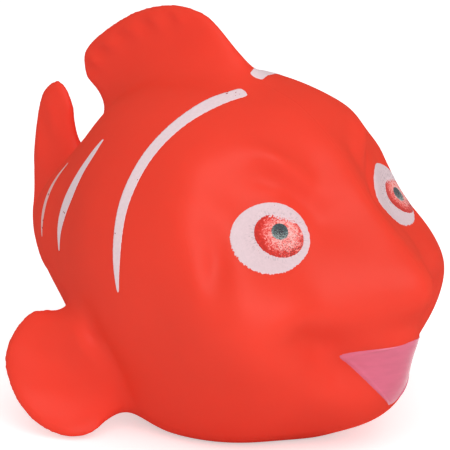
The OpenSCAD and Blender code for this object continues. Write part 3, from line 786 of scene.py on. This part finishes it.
def white_paint(colour, under, name="Sprayed white paint", streaks=0.0, pinholes=0.24):
    """Matt toy paint sprayed through a mask: chalky, fine in grain, with pinholes where the red vinyl shows.

    With streaks, fine lines run out from the middle of its own map, as the paint crept from the iris."""
    material, add = blank(name)
    co = add("TexCoord").outputs["Object"]
    # Chalky grain
    speck = add("TexNoise", {"Vector": co, "Scale": cells(0.67), "Detail": 3.0, "Roughness": 0.7})
    chalk = [(0.3, tint(colour, 0.93)), (0.8, tint(colour, 1.08)), (0.62, colour)]
    finish = add("ValToRGB", {0: speck}, chalk)
    if streaks:
        uv = add("UVMap", uv_map="Paint")
        flat = add("VectorMath", {0: uv, 1: (0.6, 0.53, 0.0)}, operation="SUBTRACT")
        parts = add("SeparateXYZ", {0: flat})
        turned = add("Math", {0: parts.outputs[1], 1: parts.outputs[0]}, operation="ARCTAN2")
        far = add("VectorMath", {0: flat}, operation="LENGTH")
        ray = add("CombineXYZ", {0: turned, 1: far})
        # Lines by the turn in radians, which fade out towards the rim
        lines = add("TexNoise", {"Vector": ray, "Scale": round(STREAKS / 2 / math.pi), "Detail": 1.0})
        near = add("MapRange", {0: far, 1: 0.42, 2: 0.2, 3: 0.0, 4: streaks})
        dark = add("MapRange", {0: lines, 1: 0.55, 2: 0.7})
        drawn = add("Math", {0: dark, 1: near}, operation="MULTIPLY")
        finish = add("Mix", {"Factor": drawn, "A": finish, "B": linear("#8C7F86")}, data_type="RGBA")
    # Pinholes up to half a millimetre wide, one in a cell, in patches
    pore = add("TexVoronoi", {"Vector": co, "Scale": cells(1.11)})
    patch = add("TexNoise", {"Vector": co, "Scale": cells(3.85), "Detail": 1.0})
    few = add("MapRange", {0: patch, 1: 0.52, 2: 0.66, 3: 0.0, 4: pinholes})
    hole = add("Math", {0: pore, 1: few}, operation="LESS_THAN")
    base = add("Mix", {"Factor": hole, "A": finish, "B": tint(under, 0.4)}, data_type="RGBA")
    bump = add("Bump", {"Height": speck, "Strength": 0.2, "Distance": BUMP_HEIGHT})
    shader = add("BsdfPrincipled", {
        "Base Color": base, "Roughness": 0.6, "IOR": 1.5, "Specular IOR Level": 0.15, "Normal": bump,
    })
    add("OutputMaterial", {"Surface": shader})
    return material


def iris_paint(thick, thin, white, dark, width):
    """Toy paint dabbed on wet: deep red at the near side and the rim, with pale flecks round the pupil.

    A shade runs across the disc and out to its rim, noise breaks it up, dark specks of dried paint lie at the
    lower far side, and towards the top it thins out into the white beneath."""
    material, add = blank("Dabbed iris paint")
    uv = add("UVMap", uv_map="Paint")
    flat = add("VectorMath", {0: uv, 1: MAP_MIDDLE}, operation="SUBTRACT")
    far = add("VectorMath", {0: flat}, operation="LENGTH")
    # Flecks of a millimetre and less, with hard edges
    fleck = add("TexNoise", {
        "Vector": flat, "Scale": cells(0.96, width), "Detail": 4.0, "Roughness": 0.75, "Distortion": 1.2,
    })
    # The shade from 1 at the near side to -1 at the far side, and its rise towards the rim
    slope = add("VectorMath", {0: flat, 1: (-1.9, -0.5, 0.0)}, operation="DOT_PRODUCT")
    rim = add("MapRange", {0: far, 1: 0.26, 2: 0.48, 3: -0.1, 4: 0.24}, interpolation_type="SMOOTHSTEP")
    steep = add("Math", {0: fleck, 1: 1.9, 2: -0.45}, operation="MULTIPLY_ADD")
    shade = add("Math", {0: slope, 1: 0.24, 2: steep}, operation="MULTIPLY_ADD")
    depth = add("Math", {0: shade, 1: rim}, operation="ADD")
    bright = linear("#F76F69")
    stops = [(0.2, tint(thin, 1.3)), (1.0, tint(thick, 0.75)), (0.36, thin), (0.48, bright), (0.66, thick)]
    paint = add("ValToRGB", {0: depth}, stops)
    # Dried dark specks at the lower far side
    corner = add("VectorMath", {0: flat, 1: (0.75, -0.65, 0.0)}, operation="DOT_PRODUCT")
    dots = add("TexNoise", {"Vector": flat, "Scale": cells(0.274, width), "Detail": 2.0, "Roughness": 0.6})
    dotted = add("Math", {0: corner, 1: 0.3, 2: dots}, operation="MULTIPLY_ADD")
    speck = add("MapRange", {0: dotted, 1: 0.64, 2: 0.7})
    marked = add("Mix", {"Factor": speck, "A": paint, "B": dark}, data_type="RGBA")
    # The top edge breaks up into the white
    parts = add("SeparateXYZ", {0: flat})
    high = add("MapRange", {0: parts.outputs[1], 1: 0.2, 2: 0.5, 3: -0.4, 4: 0.25})
    torn = add("TexNoise", {"Vector": flat, "Scale": cells(0.44, width), "Detail": 3.0})
    bare = add("Math", {0: torn, 1: high}, operation="ADD")
    shown = add("MapRange", {0: bare, 1: 0.46, 2: 0.52})
    base = add("Mix", {"Factor": shown, "A": marked, "B": white}, data_type="RGBA")
    bump = add("Bump", {"Height": fleck, "Strength": 0.3, "Distance": BUMP_HEIGHT})
    shader = add("BsdfPrincipled", {
        "Base Color": base, "Roughness": 0.45, "IOR": 1.5, "Specular IOR Level": 0.35, "Normal": bump,
    })
    add("OutputMaterial", {"Surface": shader})
    return material


def pupil_paint(thick, thin, dark, width):
    """Toy paint dabbed on wet: blue-grey, thick above, thin and pale below, dark specks in its middle."""
    material, add = blank("Dabbed pupil paint")
    uv = add("UVMap", uv_map="Paint")
    flat = add("VectorMath", {0: uv, 1: MAP_MIDDLE}, operation="SUBTRACT")
    parts = add("SeparateXYZ", {0: uv})
    # Patches where the paint lay thin
    patch = add("TexNoise", {"Vector": uv, "Scale": cells(0.68, width), "Detail": 3.0, "Roughness": 0.8})
    steep = add("Math", {0: patch, 1: 1.6, 2: -0.55}, operation="MULTIPLY_ADD")
    shade = add("Math", {0: parts.outputs[1], 1: 0.75, 2: steep}, operation="MULTIPLY_ADD")
    stops = [(0.3, thin), (1.0, tint(thick, 0.6)), (0.5, tint(thin, 0.6)), (0.66, thick)]
    paint = add("ValToRGB", {0: shade}, stops)
    # Dark specks, thickest in the middle
    far = add("VectorMath", {0: flat}, operation="LENGTH")
    spots = add("TexNoise", {"Vector": uv, "Scale": cells(0.27, width), "Detail": 1.0})
    spotted = add("Math", {0: far, 1: -0.3, 2: spots}, operation="MULTIPLY_ADD")
    spot = add("MapRange", {0: spotted, 1: 0.41, 2: 0.47})
    base = add("Mix", {"Factor": spot, "A": paint, "B": dark}, data_type="RGBA")
    shader = add("BsdfPrincipled", {
        "Base Color": base, "Roughness": 0.45, "IOR": 1.5, "Specular IOR Level": 0.35,
    })
    add("OutputMaterial", {"Surface": shader})
    return material


def gloss_paint(colour):
    """Glossy solvent paint brushed over the lips: level and shiny, with soft brush marks across."""
    material, add = blank("Brushed gloss paint")
    co = add("TexCoord").outputs["Object"]
    # Marks of the brush, drawn out three times sideways
    stretch = add("Mapping", {"Vector": co, "Scale": (0.3, 0.3, 1.0)})
    marks = add("TexNoise", {"Vector": stretch, "Scale": cells(1.43), "Detail": 2.0})
    base = add("ValToRGB", {0: marks}, [(0.3, tint(colour, 0.95)), (0.75, tint(colour, 1.05))])
    bump = add("Bump", {"Height": marks, "Strength": 0.2, "Distance": BUMP_HEIGHT})
    shader = add("BsdfPrincipled", {
        "Base Color": base, "Roughness": 0.24, "IOR": 1.5, "Specular IOR Level": 0.35, "Normal": bump,
    })
    add("OutputMaterial", {"Surface": shader})
    return material


def moulded_polyethylene():
    """Injection-moulded polyethylene: milky, waxy and a little soft in the light."""
    material, add = blank("Moulded polyethylene")
    co = add("TexCoord").outputs["Object"]
    # Flow of the melt
    flow = add("TexNoise", {"Vector": co, "Scale": cells(3.3), "Detail": 2.0})
    base = add("ValToRGB", {0: flow}, [(0.3, linear("#E3E0D6")), (0.7, linear("#EEECE5"))])
    bump = add("Bump", {"Height": flow, "Strength": 0.1, "Distance": BUMP_HEIGHT})
    shader = add("BsdfPrincipled", {
        "Base Color": base, "Roughness": 0.35, "IOR": 1.51, "Normal": bump, "Subsurface Weight": 0.1,
        "Subsurface Radius": (0.001, 0.001, 0.0009), "Subsurface Scale": 1.0,
    })
    add("OutputMaterial", {"Surface": shader})
    return material


def polyester_film():
    """Stamped polyester film: springy and glossy, with fine scratches along it."""
    material, add = blank("Stamped polyester film")
    co = add("TexCoord").outputs["Object"]
    # Scratches, drawn out twenty times along the reed
    stretch = add("Mapping", {"Vector": co, "Scale": (1.0, 1.0, 0.05)})
    lines = add("TexNoise", {"Vector": stretch, "Scale": cells(0.33), "Detail": 1.0})
    base = add("ValToRGB", {0: lines}, [(0.3, linear("#BFC4CA")), (0.7, linear("#D6DADE"))])
    shader = add("BsdfPrincipled", {"Base Color": base, "Roughness": 0.18, "IOR": 1.64})
    add("OutputMaterial", {"Surface": shader})
    return material


class BATHTOY_OT_skin(bpy.types.Operator):
    """Moulds the hollow skin with its fins"""

    bl_idname = "bath_toy.skin"
    bl_label = "Mould Skin"

    def execute(self, context):
        sizes = context.scene.bath_toy_body
        place("fish_skin", moulded_skin(sizes), soft_vinyl(sizes.vinyl), "toy", "soft_vinyl", ["vinyl_body"])
        return {"FINISHED"}


class BATHTOY_OT_eyes(bpy.types.Operator):
    """Paints the white, iris and pupil of both eyes"""

    bl_idname = "bath_toy.eyes"
    bl_label = "Paint Eyes"

    def execute(self, context):
        skin = Skin(context.scene.bath_toy_body)
        paint = context.scene.bath_toy_paint
        under = context.scene.bath_toy_body.vinyl
        finishes = {
            "eye_white": white_paint(paint.white, under, "Sprayed white of the eye", 0.8, 0.06),
            "iris": iris_paint(
                paint.iris, paint.iris_pale, paint.white, linear("#8E2A28"), paint.iris_width
            ),
            "pupil": pupil_paint(paint.pupil, paint.pupil_pale, linear("#33262F"), paint.pupil_width),
        }
        for k, (name, (films, teeth, *seats)) in enumerate(EYE_LAYERS.items()):
            # The sizes of the white of the eye are the eye's own
            part = name.split("_")[0]
            wide, high = getattr(paint, f"{part}_width"), getattr(paint, f"{part}_height")
            for (side, sign), (shift, lean, share) in zip(SIDES.items(), seats):
                seed = 7 * k + sign + 20
                points, faces, uv = eye_disc(
                    skin, paint, wide * share, high, shift, lean, films * paint.film, teeth, side, seed
                )
                node = f"{name}_{side}"
                mesh = mesh_from(f"painted_{node}", points * [sign, 1, 1], faces, uv)
                slot = "white_paint" if name == "eye_white" else f"{name}_paint"
                place(f"painted_{node}", mesh, finishes[name], "toy", slot, [node])
        return {"FINISHED"}


class BATHTOY_OT_lips(bpy.types.Operator):
    """Paints the lips"""

    bl_idname = "bath_toy.lips"
    bl_label = "Paint Lips"

    def execute(self, context):
        skin = Skin(context.scene.bath_toy_body)
        paint = context.scene.bath_toy_paint
        u = np.linspace(0, 1, LIP_GRID[0])[:, None]
        v = np.linspace(-1, 1, LIP_GRID[1])[None, :]
        wide = curve(LIP_WIDTHS, u[:, 0])[:, 0][:, None] * (1 + 0.012 * waves(u, 25, 5))
        tall = curve(LIP_HEIGHTS, u[:, 0])[:, 0][:, None]
        aims = np.stack([wide * v, -1 + 0 * u * v, tall + 0 * v], -1) * skin.half[1]
        rings, uv = film_rings(skin, skin.towards(skin.core + aims), paint.film, 4 * paint.film)
        points, faces = shell(rings)
        uv = np.vstack([uv.reshape(-1, 2), [[0.5, 0], [0.5, 1]]])
        mesh = mesh_from("painted_lips", points, faces, uv)
        place("painted_lips", mesh, gloss_paint(paint.lips), "toy", "lip_paint", ["lip_paint"])
        return {"FINISHED"}


class BATHTOY_OT_stripes(bpy.types.Operator):
    """Paints the stripes of both sides"""

    bl_idname = "bath_toy.stripes"
    bl_label = "Paint Stripes"

    def execute(self, context):
        skin = Skin(context.scene.bath_toy_body)
        paint = context.scene.bath_toy_paint
        moulding = bpy.data.objects.get("fish_skin")
        if moulding is None:
            raise RuntimeError("The skin is moulded before its stripes are painted")
        # A sheet is laid on the moulding, proud of it by the film, and given depth into it
        laid = {"target": moulding, "wrap_method": "NEAREST_SURFACEPOINT", "wrap_mode": "ABOVE_SURFACE"}
        wrap = ("SHRINKWRAP", {**laid, "offset": paint.film})
        thick = ("SOLIDIFY", {"thickness": 4 * paint.film, "offset": -1})
        under = context.scene.bath_toy_body.vinyl
        full = white_paint(paint.white_full, under)
        thin = white_paint(paint.white_thin, under, "Thin sprayed white paint")
        rows, cols = STRIPE_GRID
        for k, (name, side) in enumerate((name, side) for name in STRIPES for side in SIDES):
            widths, *lines = STRIPES[name]
            sign = SIDES[side]
            sheet = stripe_sheet(skin, lines[k % 2], widths, getattr(paint, f"{name}_stripe"), 30 + 5 * k)
            faces = quads(rows, cols, cols - 1)[:, ::sign].tolist()
            mesh = evaluated(sheet * [sign, 1, 1], faces, wrap, thick)
            node = f"stripe_{name}_{side}"
            mesh.name = f"painted_{node}"
            place(f"painted_{node}", mesh, thin if name == "tail" else full, "toy", "white_paint", [node])
        return {"FINISHED"}


class BATHTOY_OT_squeaker(bpy.types.Operator):
    """Finishes the squeaker's plastic and its reed"""

    bl_idname = "bath_toy.squeaker"
    bl_label = "Finish Squeaker"

    def execute(self, context):
        plastic, film = moulded_polyethylene(), polyester_film()
        for name in ("squeaker_housing", "reed_block", "reed_clamp", "reed"):
            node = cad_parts[name]
            finished(node, film if name == "reed" else plastic)
        return {"FINISHED"}


class BATHTOY_OT_stage(bpy.types.Operator):
    """Sets the pale floor, the soft light and the camera"""

    bl_idname = "bath_toy.stage"
    bl_label = "Set Stage"

    def execute(self, context):
        stage = context.scene.bath_toy_stage
        skin = Skin(context.scene.bath_toy_body)
        self.floor()
        self.camera(stage, skin)
        self.light(stage)
        return {"FINISHED"}

    def floor(self):
        """A wide sheet of pale paper just under the toy."""
        mesh = bpy.data.meshes.new("floor")
        corners = ((-1, -1), (1, -1), (1, 1), (-1, 1))
        points = [[FLOOR_REACH * x, FLOOR_REACH * y, FLOOR_LEVEL] for x, y in corners]
        mesh.from_pydata(points, [], [[0, 1, 2, 3]])
        floor = linked("floor", mesh)
        material, add = blank("Pale paper sweep")
        paper = add("BsdfDiffuse", {"Color": linear("#F2F2F2")})
        # Lifted to white for the camera and in mirrored light, so that only the shadow is left on it
        path = add("LightPath").outputs
        seen = add("Math", {0: path["Is Camera Ray"], 1: path["Is Glossy Ray"]}, operation="MAXIMUM")
        lift = add("Math", {0: seen, 1: 0.5}, operation="MULTIPLY")
        glow = add("Emission", {"Color": linear("#FFFFFF"), "Strength": lift})
        both = add("AddShader", {0: paper, 1: glow})
        # Clear from below, also for the light that a ray gathers once it has come through
        below = add("NewGeometry").outputs["Backfacing"]
        through = {0: below, 1: path["Transparent Depth"]}
        under = add("Math", through, operation="ADD", use_clamp=True)
        shown = add("MixShader", {0: under, 1: both, 2: add("BsdfTransparent")})
        add("OutputMaterial", {"Surface": shown})
        mesh.materials.append(material)

    def camera(self, stage, skin):
        """The camera at its azimuth and elevation, aimed so that the toy stands as in the photograph."""
        a, e = stage.azimuth, stage.elevation
        away = Vector((-math.sin(a) * math.cos(e), -math.cos(a) * math.cos(e), math.sin(e)))
        middle = Vector((0, float(skin.core[1]), MIDDLE_HEIGHT))
        right = away.cross(Vector((0, 0, 1))).normalized() * -1
        up = right.cross(-away).normalized()
        aim = middle - right * AIM_LEFT + up * AIM_UP
        data = bpy.data.cameras.new("camera")
        data.sensor_width = SENSOR_WIDTH
        data.lens = SENSOR_WIDTH * stage.distance / stage.view_width
        data.clip_start = 0.01
        bpy.context.scene.camera = linked("camera", data)
        aimed(bpy.context.scene.camera, middle + away * stage.distance, aim)

    def light(self, stage):
        """Even light from all round, and two square lamps."""
        world = bpy.data.worlds.new("studio")
        bpy.context.scene.world = world
        world.use_nodes = True
        # White where the camera looks past the floor, and the soft light's own strength for all else
        tree = world.node_tree
        seen = add_node(tree, "LightPath").outputs["Is Camera Ray"]
        strength = add_node(tree, "MapRange", {0: seen, 3: stage.sky, 4: 1.0})
        background = tree.nodes["Background"]
        background.inputs["Color"].default_value = linear("#FFFFFF")
        tree.links.new(strength.outputs[0], background.inputs["Strength"])
        for name, (where, size, share) in LAMPS.items():
            data = bpy.data.lights.new(name, "AREA")
            data.shape = "SQUARE"
            data.size = size
            data.energy = stage.key * share
            aimed(linked(name, data), where, Vector((0, 0, MIDDLE_HEIGHT)))
        bpy.context.scene.view_settings.view_transform = "Standard"


class BATHTOY_PT_panel(bpy.types.Panel):
    """Lists the toy's operators and sizes"""

    bl_idname = "BATHTOY_PT_panel"
    bl_label = "Bath Toy"
    bl_space_type = "VIEW_3D"
    bl_region_type = "UI"
    bl_category = "Bath Toy"

    def draw(self, context):
        for operator in OPERATORS:
            self.layout.operator(operator.bl_idname)
        for name in GROUPS:
            group = getattr(context.scene, name)
            box = self.layout.box()
            for size in group.__annotations__:
                box.prop(group, size)


OPERATORS = (
    BATHTOY_OT_skin,
    BATHTOY_OT_eyes,
    BATHTOY_OT_lips,
    BATHTOY_OT_stripes,
    BATHTOY_OT_squeaker,
    BATHTOY_OT_stage,
)
GROUPS = {
    "bath_toy_body": BATHTOY_PG_body,
    "bath_toy_paint": BATHTOY_PG_paint,
    "bath_toy_stage": BATHTOY_PG_stage,
}
CLASSES = (*GROUPS.values(), *OPERATORS, BATHTOY_PT_panel)


def register():
    for cls in CLASSES:
        bpy.utils.register_class(cls)
    for name, group in GROUPS.items():
        setattr(bpy.types.Scene, name, bpy.props.PointerProperty(type=group))


def unregister():
    for name in GROUPS:
        delattr(bpy.types.Scene, name)
    for cls in reversed(CLASSES):
        bpy.utils.unregister_class(cls)


def main():
    register()
    bpy.ops.bath_toy.skin()
    bpy.ops.bath_toy.eyes()
    bpy.ops.bath_toy.lips()
    bpy.ops.bath_toy.stripes()
    bpy.ops.bath_toy.squeaker()
    bpy.ops.bath_toy.stage()


if __name__ == "__main__":
    main()
